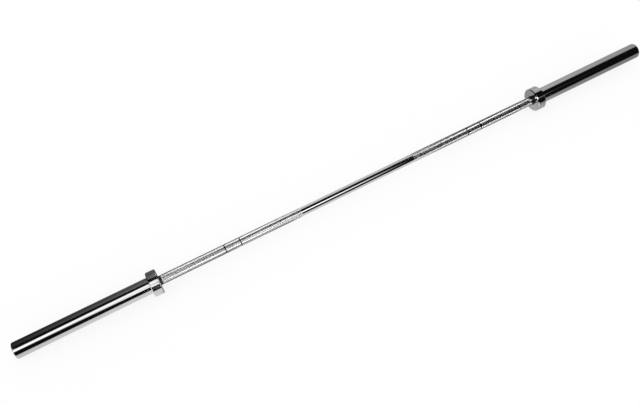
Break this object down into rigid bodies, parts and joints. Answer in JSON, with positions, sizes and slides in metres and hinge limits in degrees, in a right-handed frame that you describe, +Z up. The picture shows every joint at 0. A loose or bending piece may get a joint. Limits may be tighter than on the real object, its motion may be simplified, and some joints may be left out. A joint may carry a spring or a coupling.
{
  "type": "olympic barbell",
  "caption": "Chromed barbell: a knurled steel bar with mark rings, collars that stop the plates, and sleeves that spin on bronze bushings.",
  "frame": {"origin": "middle of the bar, on its axis", "axes": "+X along the bar to its right end, +Z up"},
  "size_m": [2.2, 0.077, 0.077],
  "materials": {
    "knurled_chrome": "hard chrome over rolled diamond knurling, polished where smooth",
    "polished_chrome": "bright polished chrome",
    "bronze": "oil-filled sintered bronze",
    "washer_steel": "ground hardened steel",
    "ring_steel": "black oxide spring steel",
    "cap_aluminium": "turned satin aluminium",
    "seal_rubber": "nitrile rubber"
  },
  "bodies": {
    "bar": {"shaft": "knurled_chrome", "right_inner_thrust_washer": "washer_steel", "right_outer_thrust_washer": "washer_steel", "right_shaft_snap_ring": "ring_steel", "left_inner_thrust_washer": "washer_steel", "left_outer_thrust_washer": "washer_steel", "left_shaft_snap_ring": "ring_steel"},
    "right_sleeve_assembly": {"right_sleeve": "polished_chrome", "right_collar": "polished_chrome", "right_inner_bushing": "bronze", "right_outer_bushing": "bronze", "right_end_cap": "cap_aluminium", "right_end_cap_o_ring": "seal_rubber", "right_end_cap_snap_ring": "ring_steel"},
    "left_sleeve_assembly": {"left_sleeve": "polished_chrome", "left_collar": "polished_chrome", "left_inner_bushing": "bronze", "left_outer_bushing": "bronze", "left_end_cap": "cap_aluminium", "left_end_cap_o_ring": "seal_rubber", "left_end_cap_snap_ring": "ring_steel"}
  },
  "joints": [
    {"name": "right_sleeve_spin", "type": "hinge", "parent": "bar", "child": "right_sleeve_assembly", "pos_m": [0.8825, 0, 0], "axis": [1, 0, 0], "continuous": true},
    {"name": "left_sleeve_spin", "type": "hinge", "parent": "bar", "child": "left_sleeve_assembly", "pos_m": [-0.8825, 0, 0], "axis": [1, 0, 0], "continuous": true}
  ]
}
